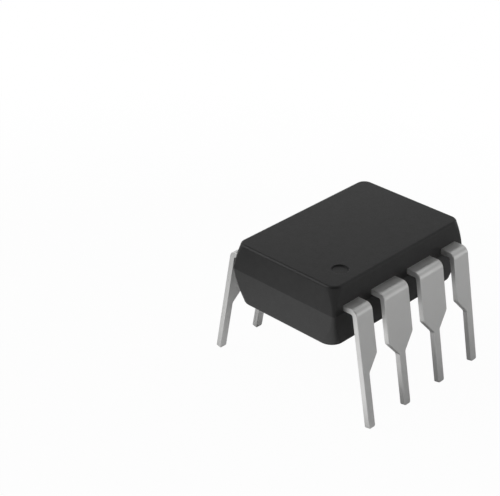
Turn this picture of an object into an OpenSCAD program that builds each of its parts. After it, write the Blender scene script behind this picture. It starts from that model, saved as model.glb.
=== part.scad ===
// Eight-lead moulded dual in-line chip package, in millimetres.
// Origin: centre of the footprint, level with the lead tips. +X runs along the body, away from the
// pin 1 end, +Y across it, and +Z up through the bare top. Leads 1 to 4 stand along the -Y side and
// leads 5 to 8 come back along the +Y side, counted anticlockwise from above.

/* [Body] */
// Length of the body at its parting line
body_l = 9.3; // [9:0.05:10.2]
// Width of the body at its parting line
body_w = 6.3; // [6.1:0.05:7.1]
// Height of the upper mould half, from the parting line to the top
upper_h = 1.34; // [1.2:0.02:1.7]
// Depth of the lower mould half, from the parting line to the underside
lower_h = 1.82; // [1.5:0.02:2.2]
// Draft of the walls in degrees
draft = 6; // [4:0.5:10]
// Radius of the upright corners at the parting line
corner_r = 0.15; // [0.1:0.05:0.3]
// Radius to which the corners have widened at the top rim
top_corner_r = 0.5; // [0.35:0.05:0.8]
// Radius to which the corners have widened at the bottom rim
low_corner_r = 0.7; // [0.35:0.05:0.9]
// Radius of the top and bottom rims
rim_r = 0.14; // [0.06:0.02:0.2]

/* [Moulded marks] */
// Diameter of the pin 1 dimple
dimple_d = 0.8; // [0.5:0.05:1.2]
// Depth of the pin 1 dimple
dimple_depth = 0.08; // [0.04:0.01:0.15]
// Distance of the dimple's centre from the pin 1 end of the body
dimple_from_end = 1.65; // [1.2:0.05:2.2]
// Distance of the dimple's centre from the pin 1 side of the body
dimple_from_side = 1.15; // [1:0.05:1.8]
// Diameter of the ejector mark in the middle of the underside
ejector_d = 2.5; // [1.5:0.1:3.5]
// Depth of the ejector mark
ejector_depth = 0.08; // [0.04:0.01:0.15]

/* [Leads] */
// Distance from one lead to the next along a row
pitch = 2.54; // [2.4:0.02:2.6]
// Thickness of the lead frame sheet
lead_t = 0.27; // [0.2:0.01:0.32]
// Width of the narrow pin
pin_w = 0.43; // [0.36:0.01:0.56]
// Width of a middle lead's shoulder
shoulder_w = 1.7; // [1.4:0.02:1.78]
// Length of the narrow pin, from its tip to the taper
pin_l = 2.7; // [2.4:0.05:3.1]
// Length of the taper from the pin to the shoulder
taper_l = 0.76; // [0.5:0.02:1]
// Height of the leads' middle plane above the tips, where they leave the body
exit_h = 5.73; // [5.4:0.01:6]
// Height of the leads' lower faces above the parting line
exit_lift = 0.1; // [0:0.02:0.2]
// Distance over the outer faces of the two rows, just under the bends
shoulder_spread = 7.86; // [7.7:0.02:8.2]
// Angle by which the leads splay outwards, in degrees
splay = 10.3; // [0:0.1:14]
// Inside radius of the bends
bend_r = 0.11; // [0.06:0.01:0.2]
// Radius of the stamped corners of the shoulder
shoulder_r = 0.16; // [0.05:0.01:0.25]
// Radius where the taper runs into the narrow pin
neck_r = 0.2; // [0.05:0.01:0.3]
// Radius of the corners of the tips
tip_r = 0.09; // [0.04:0.01:0.15]

/* [Lead frame inside the body] */
// Length of the die pad
pad_l = 3.2; // [2.6:0.1:3.6]
// Width of the die pad
pad_w = 2.2; // [2:0.1:2.6]
// How far the die pad is set down below the fingers
pad_drop = 0.2; // [0.1:0.02:0.4]
// Width of the die pad's tie bars
tie_w = 0.4; // [0.3:0.05:0.6]
// Thickness of epoxy over the ends of the tie bars
tie_cover = 0.3; // [0.2:0.05:0.6]
// Width of the fingers
finger_w = 0.7; // [0.5:0.05:0.8]
// Gap between the fingers and the die pad, and between the end fingers and the tie bars
finger_gap = 0.25; // [0.15:0.05:0.4]
// How far the shoulders reach into the body at full width
shoulder_in = 0.3; // [0.2:0.05:0.5]
// How far the middle fingers lie nearer to the middle than their pins
finger_shift = 0.15; // [0:0.05:0.3]
// Side of the slanted knee in the end fingers
knee = 1.15; // [0.9:0.05:1.3]

/* [Die and wires] */
// Length of the die
die_l = 1.9; // [1.5:0.1:2.4]
// Width of the die
die_w = 1.5; // [1.2:0.1:1.8]
// Thickness of the die
die_t = 0.28; // [0.2:0.02:0.35]
// Thickness of the die adhesive
glue_t = 0.03; // [0.02:0.01:0.05]
// How far the adhesive stands out around the die
glue_rim = 0.06; // [0.02:0.01:0.1]
// Diameter of the bond wires
wire_d = 0.03; // [0.02:0.005:0.05]
// Height of the wire loops above the die
loop_h = 0.22; // [0.15:0.01:0.3]
// Diameter of the balls on the die and of the stitches on the fingers
bond_d = 0.09; // [0.08:0.01:0.12]
// Height of the balls
ball_h = 0.03; // [0.02:0.005:0.05]
// Distance of the wires' ends from the edges of the die and of the fingers
bond_inset = 0.2; // [0.12:0.02:0.3]

/* [Hidden] */

LEADS = 8;
// Quadrant of each lead as signs of X and Y, and whether it is one at the end of its row
SIDE_X = [-1, -1, 1, 1, 1, 1, -1, -1];
SIDE_Y = [-1, -1, -1, -1, 1, 1, 1, 1];
AT_END = [true, false, false, true, true, false, false, true];

ARC_STEPS = 6;
WALL_STEPS = 5;
CORNER_STEPS = 12;
BEND_FN = 48;
MARK_FN = 96;
WIRE_SIDES = 8;
WIRE_RINGS = 14;
// How far a cutting shape runs on past the face that it cuts
CUT = 1;

PARTING_Z = exit_h - lead_t / 2 - exit_lift;
TOP_Z = PARTING_Z + upper_h;
UNDERSIDE_Z = PARTING_Z - lower_h;
FINGER_TOP_Z = exit_h + lead_t / 2;
FINGER_LOW_Z = exit_h - lead_t / 2;
PAD_TOP_Z = FINGER_TOP_Z - pad_drop;
DIE_LOW_Z = PAD_TOP_Z + glue_t;
DIE_TOP_Z = DIE_LOW_Z + die_t;

MIDDLE_X = pitch / 2;
END_X = 3 * pitch / 2;
// Straight outer edge and wide inner edge of an end lead
END_OUT_X = END_X + pin_w / 2;
END_IN_X = END_X - shoulder_w / 2;
// The bend's centre line: its distance from the middle plane of the body, and its height
BEND_Y = shoulder_spread / 2 - (bend_r + lead_t) * cos(splay);
BEND_Z = FINGER_LOW_Z - bend_r;
// Length of a leg along its slope, from the tip's inner edge to the end of the bend
LEG_L = (BEND_Z + bend_r * sin(splay)) / cos(splay);

// Inner end of the middle fingers, and the strip in which the end fingers point at the pad
MIDDLE_TIP_Y = pad_w / 2 + finger_gap;
END_TIP_X = pad_l / 2 + finger_gap;
END_TIP_LOW_Y = tie_w / 2 + finger_gap;
END_TIP_HIGH_Y = END_TIP_LOW_Y + finger_w;
FINGER_X = MIDDLE_X - finger_shift;
// Radius of the fingers' corners, and the length over which a shoulder narrows to its finger
FINGER_R = 0.1;
NECK_SLANT = 0.35;

BOND_SIDES = 12;
// A stitch is pressed flatter than the wire, and the wire's end lies just clear of the finger in it
STITCH_H = 0.7 * wire_d;
WIRE_LIFT = 0.07 * wire_d;
// A cubic curve reaches three quarters of the height of its two middle control points
LOOP_RISE = loop_h * 4 / 3;

function unit(v) = v / norm(v);

// Arc of radius r that rounds the corner b of the path a, b, c
function corner_arc(a, b, c, r) =
    let (p = unit(a - b), q = unit(c - b), half = acos(p * q) / 2,
        centre = b + unit(p + q) * r / sin(half),
        start = b + p * r / tan(half) - centre,
        turn = (cross(p, q) > 0 ? -1 : 1) * (180 - 2 * half),
        from = atan2(start.y, start.x))
    [for (i = [0:ARC_STEPS]) centre + r * [cos(from + turn * i / ARC_STEPS), sin(from + turn * i / ARC_STEPS)]];

// Closed outline through the given corners, where each entry is [point, radius]
function rounded(corners) =
    let (n = len(corners))
    [for (i = [0:n - 1])
        let (a = corners[(i + n - 1) % n][0], b = corners[i][0], c = corners[(i + 1) % n][0], r = corners[i][1])
        each r > 0 ? corner_arc(a, b, c, r) : [b]];

// Faces of a closed skin over rings of points that each have the same number of sides
function skin_faces(rings, sides) = concat(
    [for (i = [0:rings - 2], k = [0:sides - 1])
        let (a = i * sides + k, b = i * sides + (k + 1) % sides)
        each [[b, a, a + sides], [b, a + sides, b + sides]]],
    [[for (k = [0:sides - 1]) k], [for (k = [sides - 1:-1:0]) (rings - 1) * sides + k]]);

// Levels of one mould half, from the parting line out to its flat face: how far the outline is drawn in,
// its corner radius, and the height. Up the wall, the corners widen with the square of the height.
function half_levels(h, widened) =
    let (arc_z = h - rim_r, arc_in = arc_z * tan(draft) + rim_r / cos(draft),
        wall_z = arc_z + rim_r * sin(draft), wall_in = wall_z * tan(draft))
    concat(
        [for (i = [1:WALL_STEPS])
            let (f = i / WALL_STEPS)
            [f * wall_in, corner_r + (widened - corner_r) * f * f, f * wall_z]],
        [for (i = [1:ARC_STEPS])
            let (a = draft + (90 - draft) * i / ARC_STEPS, in = arc_in - rim_r * cos(a))
            [in, widened - in + wall_in, arc_z + rim_r * sin(a)]]);

// Outline of the body at one level, as a ring of points round its four corners
function body_ring(level) =
    [for (q = [0:3], i = [0:CORNER_STEPS])
        let (a = 90 * (q + i / CORNER_STEPS), sx = q == 0 || q == 3 ? 1 : -1, sy = q < 2 ? 1 : -1)
        [sx * (body_l / 2 - level.x - level.y) + level.y * cos(a),
            sy * (body_w / 2 - level.x - level.y) + level.y * sin(a), level.z]];

// The body's outside: two drafted halves that meet at the parting line
module body_block() {
    upper = half_levels(upper_h, top_corner_r);
    lower = half_levels(lower_h, low_corner_r);
    levels = concat([for (i = [len(lower) - 1:-1:0]) [lower[i].x, lower[i].y, -lower[i].z]], [[0, corner_r, 0]], upper);
    translate([0, 0, PARTING_Z])
        polyhedron([for (level = levels) each body_ring(level)], skin_faces(len(levels), 4 * (CORNER_STEPS + 1)));
}

module body() {
    color("#383838")
        difference() {
            body_block();
            translate([dimple_from_end - body_l / 2, dimple_from_side - body_w / 2, TOP_Z - dimple_depth])
                cylinder(d = dimple_d, h = dimple_depth + CUT, $fn = MARK_FN);
            translate([0, 0, UNDERSIDE_Z - CUT])
                cylinder(d = ejector_d, h = ejector_depth + CUT, $fn = MARK_FN);
            for (i = [0:LEADS - 1])
                lead_shape(i);
            die_pad_shape();
            die_attach_shape();
            die_shape();
            for (i = [0:LEADS - 1])
                wire_shape(i);
        }
}

// Moves a shape from the +X +Y quadrant to another one
module to_quadrant(sx, sy) {
    mirror([sx < 0 ? 1 : 0, 0, 0])
        mirror([0, sy < 0 ? 1 : 0, 0])
            children();
}

// Flat outline of a leg, from its tip at 0 to the bend: x across it, y up it
function leg_outline(left, right, straight) =
    let (w = pin_w / 2, top = pin_l + taper_l)
    rounded(concat(
        [[[-w, 0], tip_r], [[w, 0], tip_r]],
        straight ? [[[w, LEG_L], 0]] : [[[w, pin_l], neck_r], [[right, top], shoulder_r], [[right, LEG_L], 0]],
        [[[-left, LEG_L], 0], [[-left, top], shoulder_r], [[-w, pin_l], neck_r]]));

// Flat outlines of the fingers, in the plane of the lead frame
function middle_finger() =
    let (l = MIDDLE_X - shoulder_w / 2, r = MIDDLE_X + shoulder_w / 2, y = body_w / 2 - shoulder_in,
        fl = FINGER_X - finger_w / 2, fr = FINGER_X + finger_w / 2)
    rounded([[[l, BEND_Y], 0], [[l, y], FINGER_R], [[fl, y - NECK_SLANT], FINGER_R], [[fl, MIDDLE_TIP_Y], FINGER_R],
        [[fr, MIDDLE_TIP_Y], FINGER_R], [[fr, y - NECK_SLANT], FINGER_R], [[r, y], FINGER_R], [[r, BEND_Y], 0]]);

function end_finger() =
    let (knee_y = END_TIP_LOW_Y + knee, offset = END_OUT_X - knee_y - finger_w * sqrt(2))
    rounded([[[END_IN_X, BEND_Y], 0], [[END_IN_X, END_IN_X - offset], FINGER_R],
        [[offset + END_TIP_HIGH_Y, END_TIP_HIGH_Y], FINGER_R], [[END_TIP_X, END_TIP_HIGH_Y], FINGER_R],
        [[END_TIP_X, END_TIP_LOW_Y], FINGER_R], [[END_OUT_X - knee, END_TIP_LOW_Y], FINGER_R],
        [[END_OUT_X, knee_y], FINGER_R], [[END_OUT_X, BEND_Y], 0]]);

// Sector of sheet that joins a finger to its leg, revolved about the bend's centre line
module bend(width) {
    rotate([90, 0, 90])
        rotate([0, 0, splay])
            rotate_extrude(angle = 90 - splay, $fn = BEND_FN)
                translate([bend_r, 0])
                    square([lead_t, width]);
}

// Sloping leg below the bend's centre line, with its outer face away from the body
module leg(left, right, straight) {
    rotate([90 + splay, 0, 0])
        translate([0, -LEG_L, -bend_r - lead_t])
            linear_extrude(lead_t)
                polygon(leg_outline(left, right, straight));
}

// One lead in the +X +Y quadrant: a flat finger, a bend and a sloping leg
module quadrant_lead(at_end) {
    x = at_end ? END_X : MIDDLE_X;
    left = shoulder_w / 2;
    right = at_end ? pin_w / 2 : shoulder_w / 2;
    translate([0, 0, FINGER_LOW_Z])
        linear_extrude(lead_t)
            polygon(at_end ? end_finger() : middle_finger());
    translate([x - left, BEND_Y, BEND_Z])
        bend(left + right);
    translate([x, BEND_Y, BEND_Z])
        leg(left, right, at_end);
}

module lead_shape(i) {
    to_quadrant(SIDE_X[i], SIDE_Y[i])
        quadrant_lead(AT_END[i]);
}

module lead(i) {
    color("#a6a6a4")
        lead_shape(i);
}

module die_pad_shape() {
    end_x = body_l / 2 - tie_cover;
    step_x = pad_l / 2 + finger_gap / 2;
    translate([-pad_l / 2, -pad_w / 2, PAD_TOP_Z - lead_t])
        cube([pad_l, pad_w, lead_t]);
    for (side = [0, 1])
        mirror([side, 0, 0])
            translate([0, tie_w / 2, 0])
                rotate([90, 0, 0])
                    linear_extrude(tie_w)
                        polygon([[0, PAD_TOP_Z], [step_x, PAD_TOP_Z], [step_x + pad_drop, FINGER_TOP_Z],
                            [end_x, FINGER_TOP_Z], [end_x, FINGER_LOW_Z], [step_x + pad_drop, FINGER_LOW_Z],
                            [step_x, PAD_TOP_Z - lead_t], [0, PAD_TOP_Z - lead_t]]);
}

module die_pad() {
    color("#b87a4b")
        die_pad_shape();
}

module die_attach_shape() {
    translate([-die_l / 2 - glue_rim, -die_w / 2 - glue_rim, PAD_TOP_Z])
        cube([die_l + 2 * glue_rim, die_w + 2 * glue_rim, glue_t]);
}

module die_attach() {
    color("#c9ccd0")
        die_attach_shape();
}

module die_shape() {
    translate([-die_l / 2, -die_w / 2, DIE_LOW_Z])
        cube([die_l, die_w, die_t]);
}

module die() {
    color("#4d5a66")
        die_shape();
}

// Ends of a wire in the +X +Y quadrant, on the die and on the finger
function wire_on_die(at_end) =
    at_end ? [die_l / 2 - bond_inset, die_w / 4] : [die_l / 4, die_w / 2 - bond_inset];
function wire_on_finger(at_end) =
    at_end ? [END_TIP_X + bond_inset, (END_TIP_LOW_Y + END_TIP_HIGH_Y) / 2] : [FINGER_X, MIDDLE_TIP_Y + bond_inset];

// Cubic curve through four control points, and its direction
function curve(p, t) = pow(1 - t, 3) * p[0] + 3 * t * pow(1 - t, 2) * p[1] + 3 * t * t * (1 - t) * p[2] + pow(t, 3) * p[3];
function slope(p, t) =
    3 * pow(1 - t, 2) * (p[1] - p[0]) + 6 * t * (1 - t) * (p[2] - p[1]) + 3 * t * t * (p[3] - p[2]);

// Round section swept along a curve in the XZ plane, as one polyhedron
module swept_wire(p) {
    rings = [for (i = [0:WIRE_RINGS - 1])
        let (t = i / (WIRE_RINGS - 1), c = curve(p, t), d = unit(slope(p, t)))
        for (k = [0:WIRE_SIDES - 1])
            let (a = 360 * (k + 0.5) / WIRE_SIDES, side = wire_d / 2 * cos(a), up = wire_d / 2 * sin(a))
            [c.x - d.y * up, side, c.y + d.x * up]];
    polyhedron(rings, skin_faces(WIRE_RINGS, WIRE_SIDES));
}

// One wire in the +X +Y quadrant: a ball on the die, the loop, and a stitch on the finger
module quadrant_wire(at_end) {
    from = wire_on_die(at_end);
    to = wire_on_finger(at_end);
    span = norm(to - from);
    low_z = DIE_TOP_Z + ball_h / 2;
    high_z = DIE_TOP_Z + LOOP_RISE;
    end_z = FINGER_TOP_Z + wire_d / 2 + WIRE_LIFT;
    translate([from.x, from.y, 0])
        rotate([0, 0, atan2(to.y - from.y, to.x - from.x)]) {
            translate([0, 0, DIE_TOP_Z])
                cylinder(d = bond_d, h = ball_h, $fn = BOND_SIDES);
            swept_wire([[0, low_z], [0, high_z], [span / 2, high_z], [span, end_z]]);
            translate([span, 0, FINGER_TOP_Z])
                cylinder(d = bond_d, h = STITCH_H, $fn = BOND_SIDES);
        }
}

module wire_shape(i) {
    to_quadrant(SIDE_X[i], SIDE_Y[i])
        quadrant_wire(AT_END[i]);
}

module bond_wire(i) {
    color("#d8b04a")
        wire_shape(i);
}

body();
lead(0);  // lead_1
lead(1);  // lead_2
lead(2);  // lead_3
lead(3);  // lead_4
lead(4);  // lead_5
lead(5);  // lead_6
lead(6);  // lead_7
lead(7);  // lead_8
die_pad();
die_attach();
die();
bond_wire(0);  // bond_wire_1
bond_wire(1);  // bond_wire_2
bond_wire(2);  // bond_wire_3
bond_wire(3);  // bond_wire_4
bond_wire(4);  // bond_wire_5
bond_wire(5);  // bond_wire_6
bond_wire(6);  // bond_wire_7
bond_wire(7);  // bond_wire_8
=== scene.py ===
"""Dresses an eight-lead moulded dual in-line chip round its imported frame, laid out as a Blender add-on.

Everything is in metres in the frame's own axes: +X along the body, away from its marked end, +Y across
it, away from the side with leads 1 to 4, and +Z up through the bare top. The floor is at the lead tips.
"""

import math
from types import SimpleNamespace

import bpy
import numpy as np
from bpy.props import FloatProperty, FloatVectorProperty, PointerProperty
from mathutils import Matrix, Vector


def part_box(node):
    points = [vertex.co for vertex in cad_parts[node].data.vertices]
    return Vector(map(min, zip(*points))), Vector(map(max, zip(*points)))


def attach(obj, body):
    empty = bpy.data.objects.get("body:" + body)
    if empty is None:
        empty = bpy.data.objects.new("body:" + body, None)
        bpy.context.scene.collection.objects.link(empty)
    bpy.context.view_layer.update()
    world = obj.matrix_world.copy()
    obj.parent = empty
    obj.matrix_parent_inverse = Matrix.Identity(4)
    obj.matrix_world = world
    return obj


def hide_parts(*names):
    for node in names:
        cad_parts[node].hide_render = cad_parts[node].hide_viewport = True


bl_info = {
    "name": "Dual In-Line Chip",
    "version": (1, 0, 0),
    "blender": (4, 5, 0),
    "location": "3D View > Sidebar > Chip",
    "description": "Builds a moulded eight-lead chip package and the studio that it stands in",
    "category": "Object",
}

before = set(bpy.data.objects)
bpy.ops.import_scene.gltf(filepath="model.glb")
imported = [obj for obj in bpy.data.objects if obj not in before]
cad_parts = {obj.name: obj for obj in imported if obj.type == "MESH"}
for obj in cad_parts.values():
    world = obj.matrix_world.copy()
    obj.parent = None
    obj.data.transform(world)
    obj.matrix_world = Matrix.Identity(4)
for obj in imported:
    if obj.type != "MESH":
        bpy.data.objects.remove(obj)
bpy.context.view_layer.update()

MM = 0.001
ROOT = "root"
LEADS = [f"lead_{i}" for i in range(1, 9)]
WIRES = [f"bond_wire_{i}" for i in range(1, 9)]

# The photograph's width in pixels
PHOTO_W = 500

# The body, and the end lead and the middle lead that stand in the +X +Y quadrant
BODY_LOW, BODY_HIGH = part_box("body")
BODY_HALF = np.array((BODY_HIGH - BODY_LOW).xy) / 2
END_LOW, END_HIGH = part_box("lead_5")
MIDDLE_LOW, MIDDLE_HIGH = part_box("lead_6")

# Steps in the arcs of the body, rows up each wall and across the flat faces, and the gap between columns
RIM_STEPS = 12
PARTING_STEPS = 3
WALL_ROWS = 14
MARK_STEPS = 6
CORNER_STEPS = 18
FACE_ROWS = 7
COLUMN_GAP = 0.16 * MM
# Shares of a recess's radius at which rings divide its floor
FLOOR_SHARES = np.array([0.2, 0.5, 0.8])
# Steps in the arcs of a lead, its longest face, and the columns across its broad faces
STAMP_STEPS = 8
TIP_STEPS = 9
BEND_STEPS = 20
EDGE_STEPS = 4
LEAD_GAP = 0.3 * MM
ACROSS = 4
# Width of the narrow faces that keep an arc's smooth shading out of the flat beside it
HOLD = 0.006 * MM

# Values between which nearly all of a noise texture lies
NOISE_LOW = 0.3
NOISE_HIGH = 0.7

# Soft lamps: the way each stands round the chip and its height in degrees, its distance and side in
# millimetres, and its radiance, where 1 is white
LAMPS = {
    "back left": (-140, 38, 350, 200, 2.5),
    "back": (180, 50, 350, 300, 0.6),
    "back right": (135, 18, 350, 150, 0.62),
    "right": (90, 45, 350, 220, 0.75),
    "front right": (45, 30, 350, 250, 0.4),
    "top": (0, 89, 350, 300, 0.35),
}
# Height in degrees to which the bright strip round the horizon fades, and its radiance at the horizon
STRIP_HEIGHT = 30
STRIP = 1.15
# Distances in radii of the floor's painted pool of light, a glow that only reflections see: where the
# pool has faded, and where the paper starts and ends its change to plain white
PAINTED_POOL_END = 1.5
PAPER_START = 3
PAPER_END = 5
# Nearest and farthest that the camera shows, in metres
CLIP_START = 0.001
CLIP_END = 10


def srgb(code):
    """Linear RGBA of an sRGB hex colour."""
    values = [int(code[i:i + 2], 16) / 255 for i in (1, 3, 5)]
    return [v / 12.92 if v <= 0.04045 else ((v + 0.055) / 1.055) ** 2.4 for v in values] + [1.0]


WHITE = srgb("#ffffff")


def distance(name, description, millimetres):
    """A length property whose default is given in millimetres."""
    return FloatProperty(name=name, description=description, default=millimetres * MM, precision=5,
                         unit="LENGTH")


def angle(name, description, degrees):
    """An angle property whose default is given in degrees."""
    return FloatProperty(name=name, description=description, default=math.radians(degrees),
                         unit="ROTATION")


def factor(name, description, default):
    """A share between 0 and 1 as a property."""
    return FloatProperty(name=name, description=description, default=default, min=0, max=1,
                         subtype="FACTOR")


def colour(name, description, code):
    """A colour property whose default is an sRGB hex colour."""
    return FloatVectorProperty(name=name, description=description, default=srgb(code), size=4,
                               min=0.0, max=1.0, subtype="COLOR")


class BodySizes(bpy.types.PropertyGroup):
    """Sizes of the moulded body that its box in the frame doesn't give."""

    exit_lift: distance("Exit lift", "Height of the leads' lower faces above the parting line", 0.1)
    draft: angle("Draft", "Lean of the walls away from the parting line", 6)
    corner_radius: distance("Corner radius", "Radius of the upright corners at the parting line", 0.15)
    top_corner: distance("Top corner radius", "Radius that the corners widen to at the top rim", 0.5)
    low_corner: distance("Low corner radius", "Radius that the corners widen to at the bottom rim", 0.7)
    rim_radius: distance("Rim radius", "Radius of the top and bottom rims", 0.14)
    parting_radius: distance("Parting radius", "Radius that softens the edge at the parting line", 0.02)
    mark_radius: distance("Mark radius", "Radius of the edges of the two round recesses", 0.02)
    dimple_diameter: distance("Dimple diameter", "Diameter of the pin 1 dimple", 0.8)
    dimple_depth: distance("Dimple depth", "Depth of the pin 1 dimple", 0.05)
    dimple_from_end: distance("Dimple from end", "From the marked end to the dimple's middle", 1.65)
    dimple_from_side: distance("Dimple from side", "From the side with lead 1 to that middle", 1.15)
    ejector_diameter: distance("Ejector mark diameter", "Diameter of the recess in the underside", 2.5)
    ejector_depth: distance("Ejector mark depth", "Depth of the recess in the underside", 0.08)


class LeadSizes(bpy.types.PropertyGroup):
    """Sizes of the stamped and bent leads that their boxes in the frame don't give."""

    thickness: distance("Thickness", "Thickness of the lead frame sheet", 0.27)
    pin_width: distance("Pin width", "Width of the narrow pin", 0.43)
    pin_length: distance("Pin length", "Length of the narrow pin up to the taper", 2.7)
    taper_length: distance("Taper length", "Length of the taper from the pin to the shoulder", 0.76)
    splay: angle("Splay", "Angle by which the legs lean outwards", 10.3)
    bend_radius: distance("Bend radius", "Inside radius of the bends", 0.11)
    shoulder_radius: distance("Shoulder radius", "Radius of the stamped corners of the shoulder", 0.16)
    neck_radius: distance("Neck radius", "Radius where the taper runs into the pin", 0.2)
    tip_radius: distance("Tip radius", "Radius of the corners of the tips", 0.09)
    roll_over: distance("Roll-over", "Radius of the edges of the face that the punch entered", 0.035)
    burr_side: distance("Burr side", "Radius of the edges of the face that the punch left", 0.015)
    finger_width: distance("Finger width", "Width of the fingers inside the body", 0.7)
    finger_radius: distance("Finger radius", "Radius of the fingers' corners", 0.1)
    finger_shift: distance("Finger shift", "How far a middle finger lies inwards of its pin", 0.15)
    shoulder_in: distance("Shoulder in", "How far the shoulders reach into the body at full width", 0.3)
    neck_slant: distance("Neck slant", "Length over which a shoulder narrows to its finger", 0.35)
    knee: distance("Knee", "Side of the slanted knee in the end fingers", 1.15)


class Finishes(bpy.types.PropertyGroup):
    """Colours of the materials."""

    epoxy: colour("Epoxy", "Black moulding compound", "#151515")
    filler: colour("Filler", "Silica filler that greys the compound's skin in places", "#1b1b1b")
    tin: colour("Tin", "Matte tin plate", "#dadad9")
    copper: colour("Copper", "Bare copper alloy of the lead frame", "#c98a5c")
    silver_glue: colour("Silver adhesive", "Silver-filled die adhesive", "#b9bcc0")
    silicon: colour("Silicon", "Polished silicon", "#4a5560")
    gold: colour("Gold", "Drawn gold wire", "#e6bd55")


class StudioSizes(bpy.types.PropertyGroup):
    """The camera, as fitted to the photograph, and the studio round the chip."""

    azimuth: angle("Azimuth", "Camera's way round the chip, 0 being in front of leads 1 to 4", -45.73)
    elevation: angle("Elevation", "Height of the camera above the horizon", 29.76)
    camera_distance: distance("Distance", "Distance from the camera to the plane of the aim", 69.2)
    aim_height: distance("Aim height", "Height of the aim, a point on the chip's upright axis", 3.5)
    aim_right: distance("Aim right", "How far right of the middle of the picture the aim shows", 4.676)
    aim_up: distance("Aim up", "How far above the middle of the picture the aim shows", -2.075)
    focal_pixels: FloatProperty(name="Focal length", description="In pixels of the photograph",
                                default=1447.5, subtype="PIXEL")
    floor_side: distance("Floor side", "Side of the square floor", 1200)
    paper: colour("Paper", "White of the floor", "#f4f4f4")
    # A painted pool of light: a patch of the floor that glows in reflections and that no lamp lights
    painted_pool_x: distance("Patch X", "Place along the chip of the middle of the floor's brightest patch", -14)
    painted_pool_y: distance("Patch Y", "Place of that middle across the chip", 0)
    painted_pool_radius: distance("Patch radius", "Radius at which the bright patch starts to fade", 8.5)
    glow: factor("Glow", "Share of the floor's white that comes through it from behind", 0.97)
    mirror: factor("Glow in reflections", "Share of the patch's glow that reflections show", 1.0)


def held_arc(centre, radius, first, last, steps):
    """Points at equal angles on an arc, and one more past each end, along the tangent there.

    Each point is the centre plus the radius times the cosine and sine of its angle, in degrees.
    """
    turn = np.radians(np.linspace(first, last, steps + 1))
    look = np.column_stack([np.cos(turn), np.sin(turn)])
    points = np.array(centre) + radius * look
    way = math.copysign(HOLD, last - first) * np.column_stack([-look[:, 1], look[:, 0]])
    return np.vstack([points[0] - way[0], points, points[-1] + way[-1]])


def corner_arc(before, corner, after, radius, steps):
    """Held arc that rounds a corner of a path.

    Its centre lies on the line that halves the corner, at the radius over the sine of the half angle.
    """
    back = (before - corner) / np.linalg.norm(before - corner)
    ahead = (after - corner) / np.linalg.norm(after - corner)
    half = math.acos(float(back @ ahead)) / 2
    middle = (back + ahead) / np.linalg.norm(back + ahead)
    centre = corner + middle * radius / math.sin(half)
    start = corner + back * radius / math.tan(half) - centre
    side = -1 if back[0] * ahead[1] - back[1] * ahead[0] > 0 else 1
    first = math.degrees(math.atan2(start[1], start[0]))
    return held_arc(centre, radius, first, first + side * (180 - math.degrees(2 * half)), steps)


def rounded_path(corners, radii, steps):
    """Path through corners: a held arc at each corner that has a radius, and one point at the others."""
    corners = np.array(corners, float)
    return np.vstack([corner_arc(*corners[i - 1:i + 2], radius, steps) if radius else corners[i]
                      for i, radius in enumerate(radii)])


def divided(path, gap):
    """The same path with each side that is longer than the gap cut into equal shares."""
    sides = np.linalg.norm(np.diff(path, axis=0), axis=1)
    shares = np.maximum(1, np.ceil(sides / gap))
    at = np.concatenate([[0], np.cumsum(shares)])
    wanted = np.arange(at[-1] + 1)
    return np.column_stack([np.interp(wanted, at, path[:, k]) for k in range(path.shape[1])])


def tube_mesh(name, rings):
    """Closed smooth mesh of a stack of closed rings, given as an array of ring, column and XYZ.

    Quads join each ring to the next, and a fan closes each end at the mean of its ring. The signed
    volume, a sixth of the sum over the triangles of one corner dotted with the cross product of the
    other two, is negative where the faces look inwards, and they are then turned round.
    """
    count, columns = rings.shape[:2]
    points = np.vstack([rings.reshape(-1, 3), rings[0].mean(0), rings[-1].mean(0)])
    here = np.arange(columns)
    there = (here + 1) % columns
    first = np.arange(count - 1)[:, None] * columns
    quads = np.stack([first + here, first + columns + here, first + columns + there, first + there], -1)
    quads = quads.reshape(-1, 4)
    last = (count - 1) * columns
    poles = np.full((2, columns), [[count * columns], [count * columns + 1]])
    fans = np.vstack([np.column_stack([poles[0], here, there]),
                      np.column_stack([poles[1], last + there, last + here])])
    triangles = np.vstack([quads[:, [0, 1, 2]], quads[:, [0, 2, 3]], fans])
    a, b, c = (points[triangles[:, k]] for k in range(3))
    if np.einsum("ij,ij", a, np.cross(b, c)) < 0:
        quads, fans = quads[:, ::-1], fans[:, ::-1]
    mesh = bpy.data.meshes.new(name)
    mesh.from_pydata(points.tolist(), [], quads.tolist() + fans.tolist())
    mesh.polygons.foreach_set("use_smooth", np.ones(len(mesh.polygons), bool))
    mesh.update()
    return mesh


def add_piece(context, name, rings, material, node):
    """Adds a new piece at the origin, on the root body and in place of its node."""
    mesh = tube_mesh(name, rings)
    mesh.materials.append(material)
    piece = bpy.data.objects.new(name, mesh)
    context.scene.collection.objects.link(piece)
    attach(piece, ROOT)
    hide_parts(node)


def finish_node(name, material):
    """Gives a CAD node that stays its finished material."""
    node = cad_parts[name]
    for place in node.material_slots:
        place.material = material


def add_node(tree, kind, values=None, links=None, **settings):
    """Adds a node with its settings, its socket values and the links into it."""
    node = tree.nodes.new(kind)
    for name, value in settings.items():
        setattr(node, name, value)
    for socket, value in (values or {}).items():
        node.inputs[socket].default_value = value
    for socket, source in (links or {}).items():
        tree.links.new(source, node.inputs[socket])
    return node


def new_material(name):
    """A material with an empty node tree, and the tree."""
    material = bpy.data.materials.new(name)
    material.use_nodes = True
    material.node_tree.nodes.clear()
    return material, material.node_tree


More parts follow.
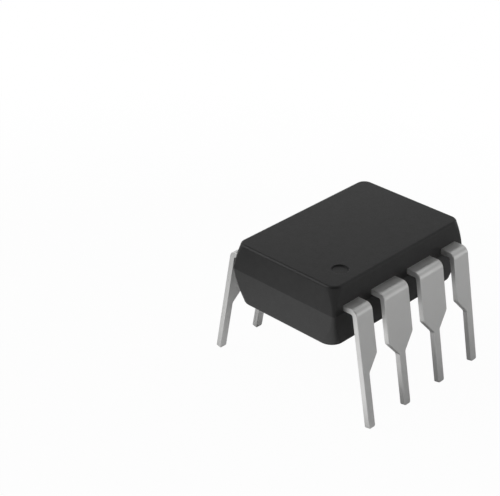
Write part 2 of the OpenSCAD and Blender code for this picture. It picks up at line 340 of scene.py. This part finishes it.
def moulded_epoxy(finishes):
    """Silica-filled epoxy moulding compound, pressed against spark-eroded steel.

    The eye sees a dense near-black with a dry, even sheen. The steel leaves a fine matte grain, and
    the filler leaves the skin faintly mottled.
    """
    # A spark-eroded grain is about 0.03 mm wide, under a pixel here, so it is drawn at 0.07 mm
    grain_width = 0.07 * MM
    grain_height = 0.002 * MM
    # The filler greys the skin in clouds about 0.4 mm wide, where the noise passes from low to high
    mottle_width = 0.4 * MM
    mottle_low, mottle_high = 0.35, 0.65
    dull, shiny = 0.46, 0.38
    material, tree = new_material("moulded_epoxy")
    place = add_node(tree, "ShaderNodeTexCoord").outputs["Object"]
    grain = add_node(tree, "ShaderNodeTexNoise", {"Scale": 1 / grain_width, "Detail": 2.0},
                     {"Vector": place})
    mottle = add_node(tree, "ShaderNodeTexNoise", {"Scale": 1 / mottle_width, "Detail": 4.0},
                      {"Vector": place})
    share = add_node(tree, "ShaderNodeMapRange", {"From Min": mottle_low, "From Max": mottle_high},
                     {"Value": mottle.outputs["Fac"]})
    skin = add_node(tree, "ShaderNodeMix", {"A": finishes.epoxy, "B": finishes.filler},
                    {"Factor": share.outputs["Result"]}, data_type="RGBA")
    sheen = add_node(tree, "ShaderNodeMapRange",
                     {"From Min": NOISE_LOW, "From Max": NOISE_HIGH, "To Min": shiny, "To Max": dull},
                     {"Value": grain.outputs["Fac"]})
    relief = add_node(tree, "ShaderNodeBump", {"Distance": grain_height},
                      {"Height": grain.outputs["Fac"]})
    shader = add_node(tree, "ShaderNodeBsdfPrincipled", {"IOR": 1.45},
                      {"Base Color": skin.outputs["Result"], "Roughness": sheen.outputs["Result"],
                       "Normal": relief.outputs["Normal"]})
    add_node(tree, "ShaderNodeOutputMaterial", links={"Surface": shader.outputs["BSDF"]})
    return material


def matte_tin(finishes):
    """Matte tin, plated on a stamped copper alloy strip.

    The eye sees a soft grey metal that blurs what it reflects. Its crystals are a few thousandths of a
    millimetre wide, far under a pixel, so a 0.05 mm grain stands for them.
    """
    crystal_width = 0.05 * MM
    crystal_height = 0.001 * MM
    # The plating bath leaves the gloss uneven in clouds about 0.8 mm wide
    cloud_width = 0.8 * MM
    dull, shiny = 0.52, 0.42
    material, tree = new_material("matte_tin")
    place = add_node(tree, "ShaderNodeTexCoord").outputs["Object"]
    crystals = add_node(tree, "ShaderNodeTexNoise", {"Scale": 1 / crystal_width, "Detail": 2.0},
                        {"Vector": place})
    clouds = add_node(tree, "ShaderNodeTexNoise", {"Scale": 1 / cloud_width, "Detail": 3.0},
                      {"Vector": place})
    haze = add_node(tree, "ShaderNodeMapRange",
                    {"From Min": NOISE_LOW, "From Max": NOISE_HIGH, "To Min": shiny, "To Max": dull},
                    {"Value": clouds.outputs["Fac"]})
    relief = add_node(tree, "ShaderNodeBump", {"Distance": crystal_height},
                      {"Height": crystals.outputs["Fac"]})
    shader = add_node(tree, "ShaderNodeBsdfPrincipled", {"Base Color": finishes.tin, "Metallic": 1.0},
                      {"Roughness": haze.outputs["Result"], "Normal": relief.outputs["Normal"]})
    add_node(tree, "ShaderNodeOutputMaterial", links={"Surface": shader.outputs["BSDF"]})
    return material


def rolled_copper(finishes):
    """Bare copper alloy strip, whose rolling leaves fine straight lines along its length."""
    line_width = 0.02 * MM
    line_length = 0.8 * MM
    line_height = 0.0008 * MM
    material, tree = new_material("rolled_copper")
    place = add_node(tree, "ShaderNodeTexCoord").outputs["Object"]
    stretch = add_node(tree, "ShaderNodeMapping",
                       {"Scale": (1 / line_length, 1 / line_width, 1 / line_width)}, {"Vector": place})
    lines = add_node(tree, "ShaderNodeTexNoise", {"Scale": 1.0, "Detail": 2.0},
                     {"Vector": stretch.outputs["Vector"]})
    relief = add_node(tree, "ShaderNodeBump", {"Distance": line_height},
                      {"Height": lines.outputs["Fac"]})
    shader = add_node(tree, "ShaderNodeBsdfPrincipled",
                      {"Base Color": finishes.copper, "Metallic": 1.0, "Roughness": 0.35},
                      {"Normal": relief.outputs["Normal"]})
    add_node(tree, "ShaderNodeOutputMaterial", links={"Surface": shader.outputs["BSDF"]})
    return material


def silver_adhesive(finishes):
    """Epoxy loaded with silver flakes, dispensed and cured: grainy, half metallic and dull."""
    flake_width = 0.008 * MM
    flake_height = 0.001 * MM
    material, tree = new_material("silver_adhesive")
    place = add_node(tree, "ShaderNodeTexCoord").outputs["Object"]
    flakes = add_node(tree, "ShaderNodeTexVoronoi", {"Scale": 1 / flake_width},
                      {"Vector": place})
    relief = add_node(tree, "ShaderNodeBump", {"Distance": flake_height},
                      {"Height": flakes.outputs["Distance"]})
    shader = add_node(tree, "ShaderNodeBsdfPrincipled",
                      {"Base Color": finishes.silver_glue, "Metallic": 0.6, "Roughness": 0.55},
                      {"Normal": relief.outputs["Normal"]})
    add_node(tree, "ShaderNodeOutputMaterial", links={"Surface": shader.outputs["BSDF"]})
    return material


def polished_silicon(finishes):
    """Polished silicon under glass passivation, with blocks of circuitry that differ a little in tint."""
    block_width = 0.22 * MM
    tint = 0.15
    material, tree = new_material("polished_silicon")
    place = add_node(tree, "ShaderNodeTexCoord").outputs["Object"]
    blocks = add_node(tree, "ShaderNodeTexVoronoi", {"Scale": 1 / block_width}, {"Vector": place},
                      distance="CHEBYCHEV")
    skin = add_node(tree, "ShaderNodeMix", {"Factor": tint, "A": finishes.silicon},
                    {"B": blocks.outputs["Color"]}, data_type="RGBA")
    shader = add_node(tree, "ShaderNodeBsdfPrincipled",
                      {"Metallic": 0.5, "Roughness": 0.15, "Coat Weight": 1.0},
                      {"Base Color": skin.outputs["Result"]})
    add_node(tree, "ShaderNodeOutputMaterial", links={"Surface": shader.outputs["BSDF"]})
    return material


def drawn_gold(finishes):
    """Gold wire drawn through a die, bright, with a faintly uneven gloss from the drawing."""
    line_width = 0.004 * MM
    dull, shiny = 0.3, 0.18
    material, tree = new_material("drawn_gold")
    place = add_node(tree, "ShaderNodeTexCoord").outputs["Object"]
    lines = add_node(tree, "ShaderNodeTexNoise", {"Scale": 1 / line_width, "Detail": 1.0},
                     {"Vector": place})
    gloss = add_node(tree, "ShaderNodeMapRange",
                     {"From Min": NOISE_LOW, "From Max": NOISE_HIGH, "To Min": shiny, "To Max": dull},
                     {"Value": lines.outputs["Fac"]})
    shader = add_node(tree, "ShaderNodeBsdfPrincipled", {"Base Color": finishes.gold, "Metallic": 1.0},
                      {"Roughness": gloss.outputs["Result"]})
    add_node(tree, "ShaderNodeOutputMaterial", links={"Surface": shader.outputs["BSDF"]})
    return material


def with_height(flat, heights):
    """XYZ from an array of ring, column and XY, and one height for each ring."""
    return np.concatenate([flat, np.broadcast_to(heights[:, None, None], flat.shape[:2] + (1,))], -1)


def body_columns():
    """Columns round the body: a pair of signs for each, and the direction it looks in.

    Round a corner the signs stay, as -1 or 1 for X and for Y, and the direction turns. Along a side the
    direction stays and the signs move from one corner's pair to the next one's.
    """
    posts = np.array([(1, 1), (-1, 1), (-1, -1), (1, -1)])
    signs, turns = [], []
    for i in range(4):
        corner = np.linspace(90 * i, 90 * i + 90, CORNER_STEPS + 1)
        side = divided(np.array([posts[i], posts[(i + 1) % 4]]) * BODY_HALF, COLUMN_GAP)[1:-1] / BODY_HALF
        signs += [np.tile(posts[i], (len(corner), 1)), side]
        turns += [corner, np.full(len(side), corner[-1])]
    turn = np.radians(np.concatenate(turns))
    return np.vstack(signs), np.column_stack([np.cos(turn), np.sin(turn)])


def wall_profile(sizes, parting_z):
    """Side view of the body's wall, from the top rim down to the bottom rim.

    Each row holds how far its outline lies inside the one at the parting line, the radius of its
    corners, and its height. Both walls lean in by the draft's tangent as they leave the parting line,
    and their corners widen with the square of the height. An arc rounds each rim, from the wall's angle
    to level, and a small one takes the sharpness off the parting line.
    """
    draft, slope = math.degrees(sizes.draft), math.tan(sizes.draft)
    rim, edge = sizes.rim_radius, sizes.parting_radius
    start = held_arc((edge / math.cos(sizes.draft), 0), edge, 180, 180 - draft, PARTING_STEPS)[1:]
    halves = []
    for height, widened in ((BODY_HIGH.z - parting_z, sizes.top_corner),
                            (parting_z - BODY_LOW.z, sizes.low_corner)):
        straight = height - rim
        wall_end = straight + rim * math.sin(sizes.draft)
        wall = wall_end * np.linspace(0, 1, WALL_ROWS + 1)[1:-1]
        centre = (straight * slope + rim / math.cos(sizes.draft), straight)
        arc = held_arc(centre, rim, 180 - draft, 90, RIM_STEPS)
        inset, up = np.vstack([start, np.column_stack([slope * wall, wall]), arc]).T
        radius = sizes.corner_radius + (widened - sizes.corner_radius) * np.clip(up / wall_end, 0, 1) ** 2
        radius -= np.clip(inset - slope * wall_end, 0, None)
        halves.append(np.column_stack([inset, radius, up]))
    upper, lower = halves
    return np.vstack([upper[::-1], lower[1:] * (1, 1, -1)]) + (0, 0, parting_z)


def recess_profile(radius, depth, edge):
    """Side view of a round flat-bottomed recess, from the middle of its floor out to the face round it.

    Each row holds a distance from the recess's centre and a height over the face. An arc of the edge's
    radius rounds the foot of the wall, and another one its mouth.
    """
    floor = np.column_stack([radius * FLOOR_SHARES, np.full(len(FLOOR_SHARES), -depth)])
    foot = held_arc((radius - edge, edge - depth), edge, -90, 0, MARK_STEPS)
    mouth = held_arc((radius + edge, -edge), edge, 180, 90, MARK_STEPS)
    return np.vstack([floor, foot, mouth])


def face_rings(outline, z, centre, profile, up):
    """Rings that fill a flat face from the middle of a round recess in it out to the outline.

    Every column runs straight from the recess's centre towards its own point of the outline: first at
    the distances and heights of the recess's profile, and then in equal shares of what is left.
    """
    ray = outline - centre
    reach = np.linalg.norm(ray, axis=1)
    share = np.linspace(0, 1, FACE_ROWS + 1)[1:-1, None]
    spread = profile[-1, 0] * (1 - share) + reach * share
    out = np.vstack([np.tile(profile[:, :1], (1, len(reach))), spread])
    heights = np.concatenate([z + up * profile[:, 1], np.full(len(spread), z)])
    return with_height(centre + out[:, :, None] * (ray / reach[:, None]), heights)


def body_rings(sizes, parting_z):
    """The body as rings, from the dimple's middle over the top and down to the ejector mark's middle.

    On the wall, the centre of a column's corner arc is its signs times what the inset and the corner's
    radius leave of half the body, and the point lies one radius from there along the column's direction.
    """
    signs, look = body_columns()
    inset, radius, height = (values[:, None, None] for values in wall_profile(sizes, parting_z).T)
    wall = signs * (BODY_HALF - inset - radius) + radius * look
    dimple = recess_profile(sizes.dimple_diameter / 2, sizes.dimple_depth, sizes.mark_radius)
    dimple_at = np.array(BODY_LOW.xy) + (sizes.dimple_from_end, sizes.dimple_from_side)
    ejector = recess_profile(sizes.ejector_diameter / 2, sizes.ejector_depth, sizes.mark_radius)
    top = face_rings(wall[0], BODY_HIGH.z, dimple_at, dimple, 1)
    bottom = face_rings(wall[-1], BODY_LOW.z, np.zeros(2), ejector, -1)
    return np.concatenate([top, with_height(wall, height[:, 0, 0]), bottom[::-1]])


def lead_plan(sizes):
    """Places that the leads share, worked out from their boxes and sizes.

    The leg runs from the tip's inner edge, on the floor, to the bend, and the tip's outer edge lies
    where the box ends.
    """
    bend_z = END_HIGH.z - sizes.thickness - sizes.bend_radius
    leg = (bend_z + sizes.bend_radius * math.sin(sizes.splay)) / math.cos(sizes.splay)
    outer = (sizes.bend_radius + sizes.thickness) * math.cos(sizes.splay)
    bend_y = END_HIGH.y - outer - leg * math.sin(sizes.splay)
    bend = (math.pi / 2 - sizes.splay) * (sizes.bend_radius + sizes.thickness / 2)
    return SimpleNamespace(
        bend_y=bend_y, bend_z=bend_z, leg=leg, bend=bend,
        wide=(MIDDLE_HIGH.x - MIDDLE_LOW.x) / 2, narrow=sizes.pin_width / 2,
        middle_x=(MIDDLE_HIGH.x + MIDDLE_LOW.x) / 2, end_x=END_HIGH.x - sizes.pin_width / 2)


def leg_edges(sizes, plan, at_end):
    """Left and right edges of a leg, each as X and distance up it, from the tip to the bend.

    A shaped edge rises straight at the pin's half width, rounds the neck, slants out over the taper,
    rounds the shoulder and rises straight to the bend. The outer edge of an end lead is straight. The
    stamped corners of the tip pull both in by radius - sqrt(radius^2 - (radius - up)^2).
    """
    top = sizes.pin_length + sizes.taper_length
    corners = [(plan.narrow, 0), (plan.narrow, sizes.pin_length), (plan.wide, top),
               (plan.wide, plan.leg - HOLD), (plan.wide, plan.leg)]
    shaped = rounded_path(corners, [0, sizes.neck_radius, sizes.shoulder_radius, 0, 0], STAMP_STEPS)
    turn = np.linspace(0, np.pi / 2, TIP_STEPS + 1)
    starts = [radius * (1 - np.cos(turn)) for radius in (sizes.tip_radius, sizes.burr_side)]
    tip = np.unique(np.concatenate([*starts, [sizes.tip_radius + HOLD]]).round(9))
    shaped = np.vstack([np.column_stack([np.full(len(tip), plan.narrow), tip]), shaped[1:]])
    shaped = divided(shaped, LEAD_GAP)
    up = shaped[:, 1]
    corner = np.clip(sizes.tip_radius - up, 0, None)
    pull = sizes.tip_radius - np.sqrt(sizes.tip_radius**2 - corner**2)
    other = np.full(len(up), plan.narrow) if at_end else shaped[:, 0]
    centre = plan.end_x if at_end else plan.middle_x
    left = np.column_stack([centre - shaped[:, 0] + pull, up])
    right = np.column_stack([centre + other - pull, up])
    return left, right


def finger_edges(sizes, plan, at_end):
    """Left and right edges of a finger as X and Y, from the bend in to its tip.

    A middle finger narrows behind its shoulder and points straight at the die pad. An end finger turns
    through a slanted knee to point at the pad's end.
    """
    if at_end:
        low, tip = END_LOW.y, END_LOW.x
        high = low + sizes.finger_width
        inner = plan.end_x - plan.wide
        shift = END_HIGH.x - low - sizes.knee - sizes.finger_width * math.sqrt(2)
        left = [(inner, plan.bend_y), (inner, inner - shift), (shift + high, high), (tip, high)]
        right = [(END_HIGH.x, plan.bend_y), (END_HIGH.x, low + sizes.knee),
                 (END_HIGH.x - sizes.knee, low), (tip, low)]
    else:
        x, tip, half = plan.middle_x - sizes.finger_shift, MIDDLE_LOW.y, sizes.finger_width / 2
        inside = BODY_HIGH.y - sizes.shoulder_in
        neck = inside - sizes.neck_slant
        left = [(MIDDLE_LOW.x, plan.bend_y), (MIDDLE_LOW.x, inside), (x - half, neck), (x - half, tip)]
        right = [(MIDDLE_HIGH.x, plan.bend_y), (MIDDLE_HIGH.x, inside), (x + half, neck), (x + half, tip)]
    middle = tuple((np.array(left[-1]) + right[-1]) / 2)
    radii = [0] + [sizes.finger_radius] * 3 + [0]
    return [rounded_path([*edge, middle], radii, STAMP_STEPS)[:-1] for edge in (left, right)]


def section(sizes):
    """Cross-section of a lead, as a share of its width, an offset along the width, and a height.

    Four arcs round its edges, larger on the outer face, where the punch went in, and smaller on the
    inner one. Between them, each broad face has a few columns at equal shares of its width.
    """
    roll, burr, top = sizes.roll_over, sizes.burr_side, sizes.thickness
    outer_right = held_arc((-roll, top - roll), roll, 90, 0, EDGE_STEPS)
    inner_right = held_arc((-burr, burr), burr, 0, -90, EDGE_STEPS)
    inner_left = inner_right[::-1] * (-1, 1)
    outer_left = outer_right[::-1] * (-1, 1)
    inside = np.linspace(0, 1, ACROSS + 1)[1:-1]
    parts = [(inside, 0, top), (1, *outer_right.T), (1, *inner_right.T), (inside[::-1], 0, 0),
             (0, *inner_left.T), (0, *outer_left.T)]
    return np.hstack([np.vstack(np.broadcast_arrays(*part)) for part in parts])


def fold(sizes, plan, along, over):
    """Y and Z, once the strip is folded, of a point at a distance up it and a height over its inner face.

    Its radius about the bend's centre line is the bend's inside radius plus that height. The angle of
    the radius goes from the splay to a right angle over the bend. Below the bend the point also slides
    down the leg, and past it it slides in, level.
    """
    turned = np.clip((along - plan.leg) / plan.bend, 0, 1)
    turn = sizes.splay + (math.pi / 2 - sizes.splay) * turned
    down = np.clip(plan.leg - along, 0, None)
    inwards = np.clip(along - plan.leg - plan.bend, 0, None)
    radius = sizes.bend_radius + over
    y = plan.bend_y + radius * np.cos(turn) + down * math.sin(sizes.splay) - inwards
    z = plan.bend_z + radius * np.sin(turn) - down * math.cos(sizes.splay)
    return y, z


def lead_rings(sizes, at_end):
    """A lead in the +X +Y quadrant as rings, from its tip to the end of its finger.

    Each ring is the cross-section, laid between the left and right edges of the flat strip at one place
    along it and then folded. At the tip the rings also shrink all round, which rounds its end.
    """
    plan = lead_plan(sizes)
    leg_left, leg_right = leg_edges(sizes, plan, at_end)
    bent = np.linspace(plan.leg, plan.leg + plan.bend, BEND_STEPS + 1)[1:]
    bent = np.append(bent, bent[-1] + HOLD)
    finger_left, finger_right = (edge[1:] for edge in finger_edges(sizes, plan, at_end))
    from_bend = (plan.leg + plan.bend + plan.bend_y) * np.array((0, 1))
    edges = []
    for leg, finger in ((leg_left, finger_left), (leg_right, finger_right)):
        over_bend = np.column_stack([np.full(len(bent), leg[-1, 0]), bent])
        edges.append(np.vstack([leg[:1], leg, over_bend, from_bend + finger * (1, -1)]))
    left, right = edges
    up = left[:, 1]
    edge = np.clip(sizes.burr_side - up, 0, None)
    shrink = sizes.burr_side - np.sqrt(sizes.burr_side**2 - edge**2)
    shrink[0] += HOLD
    share, offset, over = section(sizes)
    width = np.linalg.norm(right - left, axis=1)
    across = ((right - left) / width[:, None])[:, None]
    inset = shrink[:, None] * (1 - 2 * share) + offset
    flat = left[:, None] + across * (width[:, None] * share + inset)[:, :, None]
    middle = sizes.thickness / 2
    height = middle + (over - middle) * (1 - shrink / middle)[:, None]
    y, z = fold(sizes, plan, flat[:, :, 1], height)
    return np.stack([flat[:, :, 0], y, z], -1)


class CHIP_OT_mould_body(bpy.types.Operator):
    """Mould the epoxy body, with its dimple and its ejector mark"""

    bl_idname = "chip.mould_body"
    bl_label = "Mould Body"

    def execute(self, context):
        sizes = context.scene.chip_body
        parting_z = END_HIGH.z - context.scene.chip_leads.thickness - sizes.exit_lift
        epoxy = moulded_epoxy(context.scene.chip_finishes)
        add_piece(context, "moulded_body", body_rings(sizes, parting_z), epoxy, "body")
        return {"FINISHED"}


class CHIP_OT_bend_leads(bpy.types.Operator):
    """Stamp and bend the eight tin-plated leads"""

    bl_idname = "chip.bend_leads"
    bl_label = "Bend Leads"

    def execute(self, context):
        sizes = context.scene.chip_leads
        tin = matte_tin(context.scene.chip_finishes)
        shapes = {at_end: lead_rings(sizes, at_end) for at_end in (False, True)}
        for name in LEADS:
            low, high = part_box(name)
            signs = np.sign(np.array(low + high))
            at_end = max(abs(low.x), abs(high.x)) > MIDDLE_HIGH.x + HOLD
            rings = shapes[at_end] * (signs[0], signs[1], 1)
            add_piece(context, f"plated_{name}", rings, tin, name)
        return {"FINISHED"}


class CHIP_OT_finish_die_pad(bpy.types.Operator):
    """Finish the copper die pad and the adhesive on it"""

    bl_idname = "chip.finish_die_pad"
    bl_label = "Finish Die Pad"

    def execute(self, context):
        finishes = context.scene.chip_finishes
        finish_node("die_pad", rolled_copper(finishes))
        finish_node("die_attach", silver_adhesive(finishes))
        return {"FINISHED"}


class CHIP_OT_finish_die(bpy.types.Operator):
    """Finish the silicon die and its gold bond wires"""

    bl_idname = "chip.finish_die"
    bl_label = "Finish Die and Wires"

    def execute(self, context):
        finishes = context.scene.chip_finishes
        finish_node("die", polished_silicon(finishes))
        gold = drawn_gold(finishes)
        for name in WIRES:
            finish_node(name, gold)
        return {"FINISHED"}


def seen_by(tree, rays):
    """Socket that is 1 for the named kinds of ray and 0 for the others."""
    path = add_node(tree, "ShaderNodeLightPath")
    seen = path.outputs[rays[0]]
    for ray in rays[1:]:
        either = add_node(tree, "ShaderNodeMath", links={0: seen, 1: path.outputs[ray]},
                          operation="MAXIMUM")
        seen = either.outputs[0]
    return seen


def white_floor(studio):
    """White paper with a glow of its own, and a painted pool of light off the chip's marked end.

    The camera sees mainly the glow, which leaves the shadow on the paper faint. Reflections see the
    glow only in the painted pool, a patch that no lamp lights, and the paper with its shade round it.
    A camera under the floor looks through it at the underside.
    """
    material, tree = new_material("white_floor")
    place = add_node(tree, "ShaderNodeTexCoord").outputs["Object"]
    away = add_node(tree, "ShaderNodeVectorMath", {1: (studio.painted_pool_x, studio.painted_pool_y, 0)}, {0: place},
                    operation="DISTANCE").outputs["Value"]
    radius = studio.painted_pool_radius
    # Painted pool of light: the glow that reflections show, full within the radius and fading beyond it
    painted_pool = add_node(tree, "ShaderNodeMapRange",
                     {"From Min": radius, "From Max": PAINTED_POOL_END * radius, "To Min": studio.mirror,
                      "To Max": 0.0}, {"Value": away}, interpolation_type="SMOOTHSTEP")
    share = add_node(tree, "ShaderNodeMapRange",
                     {"From Min": PAPER_START * radius, "From Max": PAPER_END * radius,
                      "To Min": studio.glow, "To Max": 1.0}, {"Value": away})
    camera = seen_by(tree, ("Is Camera Ray",))
    mirror = seen_by(tree, ("Is Glossy Ray", "Is Transmission Ray"))
    looked = add_node(tree, "ShaderNodeMath", links={0: share.outputs["Result"], 1: camera},
                      operation="MULTIPLY")
    shown = add_node(tree, "ShaderNodeMath",
                     links={0: painted_pool.outputs["Result"], 1: mirror, 2: looked.outputs[0]},
                     operation="MULTIPLY_ADD")
    paper = add_node(tree, "ShaderNodeBsdfDiffuse", {"Color": studio.paper})
    glow = add_node(tree, "ShaderNodeEmission", {"Color": WHITE})
    lit = add_node(tree, "ShaderNodeMixShader",
                   links={0: shown.outputs[0], 1: paper.outputs[0], 2: glow.outputs[0]})
    clear = add_node(tree, "ShaderNodeBsdfTransparent")
    side = add_node(tree, "ShaderNodeNewGeometry")
    under = add_node(tree, "ShaderNodeMath", links={0: side.outputs["Backfacing"], 1: camera},
                     operation="MULTIPLY")
    surface = add_node(tree, "ShaderNodeMixShader",
                       links={0: under.outputs[0], 1: lit.outputs[0], 2: clear.outputs[0]})
    add_node(tree, "ShaderNodeOutputMaterial", links={"Surface": surface.outputs["Shader"]})
    return material


def add_floor(context, studio):
    """Square floor at the height of the tips."""
    half = studio.floor_side / 2
    corners = np.array([(-1, -1), (1, -1), (1, 1), (-1, 1)]) * half
    mesh = bpy.data.meshes.new("floor")
    mesh.from_pydata([(x, y, 0) for x, y in corners], [], [(0, 1, 2, 3)])
    mesh.materials.append(white_floor(studio))
    floor = bpy.data.objects.new("floor", mesh)
    context.scene.collection.objects.link(floor)


def add_camera(context, studio):
    """Camera at the photograph's place: back from the aim, and moved so that the aim shows off centre."""
    turn, lift = studio.azimuth, studio.elevation
    back = Vector((math.sin(turn) * math.cos(lift), -math.cos(turn) * math.cos(lift), math.sin(lift)))
    right = Vector((math.cos(turn), math.sin(turn), 0))
    up = back.cross(right)
    place = Vector((0, 0, studio.aim_height)) + back * studio.camera_distance
    place -= right * studio.aim_right + up * studio.aim_up
    data = bpy.data.cameras.new("camera")
    data.lens = studio.focal_pixels * data.sensor_width / PHOTO_W
    data.clip_start = CLIP_START
    data.clip_end = CLIP_END
    camera = bpy.data.objects.new("camera", data)
    camera.matrix_world = Matrix.Translation(place) @ Matrix((right, up, back)).transposed().to_4x4()
    context.scene.collection.objects.link(camera)
    context.scene.camera = camera


def add_lamps(context):
    """Square soft lamps that look at the chip. A lamp's power is pi times its area times its radiance."""
    for name, (turn, lift, away, side, radiance) in LAMPS.items():
        turn, lift = math.radians(turn), math.radians(lift)
        way = Vector((math.sin(turn) * math.cos(lift), -math.cos(turn) * math.cos(lift), math.sin(lift)))
        data = bpy.data.lights.new(name, "AREA")
        data.size = side * MM
        data.energy = math.pi * data.size**2 * radiance
        lamp = bpy.data.objects.new(name, data)
        lamp.location = way * away * MM
        lamp.rotation_euler = way.to_track_quat("Z", "Y").to_euler()
        context.scene.collection.objects.link(lamp)


def add_room(context):
    """A dark room with a bright strip round the horizon, like a row of windows.

    The strip's radiance falls evenly with the sine of the height. The camera sees all of the room white.
    """
    world = bpy.data.worlds.new("studio")
    context.scene.world = world
    world.use_nodes = True
    tree = world.node_tree
    way = add_node(tree, "ShaderNodeTexCoord").outputs["Generated"]
    up = add_node(tree, "ShaderNodeSeparateXYZ", links={0: way}).outputs["Z"]
    strip = add_node(tree, "ShaderNodeMapRange",
                     {"From Max": math.sin(math.radians(STRIP_HEIGHT)), "To Min": STRIP, "To Max": 0.0},
                     {"Value": up})
    room = add_node(tree, "ShaderNodeMapRange", {"To Max": 1.0},
                    {"Value": seen_by(tree, ("Is Camera Ray",)), "To Min": strip.outputs["Result"]})
    tree.links.new(room.outputs["Result"], tree.nodes["Background"].inputs["Strength"])
    tree.nodes["Background"].inputs["Color"].default_value = WHITE


class CHIP_OT_set_studio(bpy.types.Operator):
    """Set the floor, the lamps and the camera"""

    bl_idname = "chip.set_studio"
    bl_label = "Set Studio"

    def execute(self, context):
        studio = context.scene.chip_studio
        add_floor(context, studio)
        add_camera(context, studio)
        add_lamps(context)
        add_room(context)
        context.scene.view_settings.view_transform = "Standard"
        return {"FINISHED"}


class CHIP_PT_build(bpy.types.Panel):
    """Steps and sizes of the chip"""

    bl_label = "Chip"
    bl_idname = "CHIP_PT_build"
    bl_space_type = "VIEW_3D"
    bl_region_type = "UI"
    bl_category = "Chip"

    def draw(self, context):
        for step in STEPS:
            self.layout.operator(step.bl_idname)
        for name in GROUPS:
            group = getattr(context.scene, name)
            box = self.layout.box()
            for key in group.bl_rna.properties.keys():
                if key not in ("rna_type", "name"):
                    box.prop(group, key)


GROUPS = {
    "chip_body": BodySizes,
    "chip_leads": LeadSizes,
    "chip_finishes": Finishes,
    "chip_studio": StudioSizes,
}
STEPS = (
    CHIP_OT_mould_body,
    CHIP_OT_bend_leads,
    CHIP_OT_finish_die_pad,
    CHIP_OT_finish_die,
    CHIP_OT_set_studio,
)


def register():
    """Registers the property groups, the operators and the panel."""
    for kind in (*GROUPS.values(), *STEPS, CHIP_PT_build):
        bpy.utils.register_class(kind)
    for name, kind in GROUPS.items():
        setattr(bpy.types.Scene, name, PointerProperty(type=kind))


def unregister():
    """Takes all of them out again."""
    for name in GROUPS:
        delattr(bpy.types.Scene, name)
    for kind in (CHIP_PT_build, *reversed(STEPS), *GROUPS.values()):
        bpy.utils.unregister_class(kind)


def main():
    """Builds the chip and its studio."""
    register()
    bpy.ops.chip.mould_body()
    bpy.ops.chip.bend_leads()
    bpy.ops.chip.finish_die_pad()
    bpy.ops.chip.finish_die()
    bpy.ops.chip.set_studio()


if __name__ == "__main__":
    main()
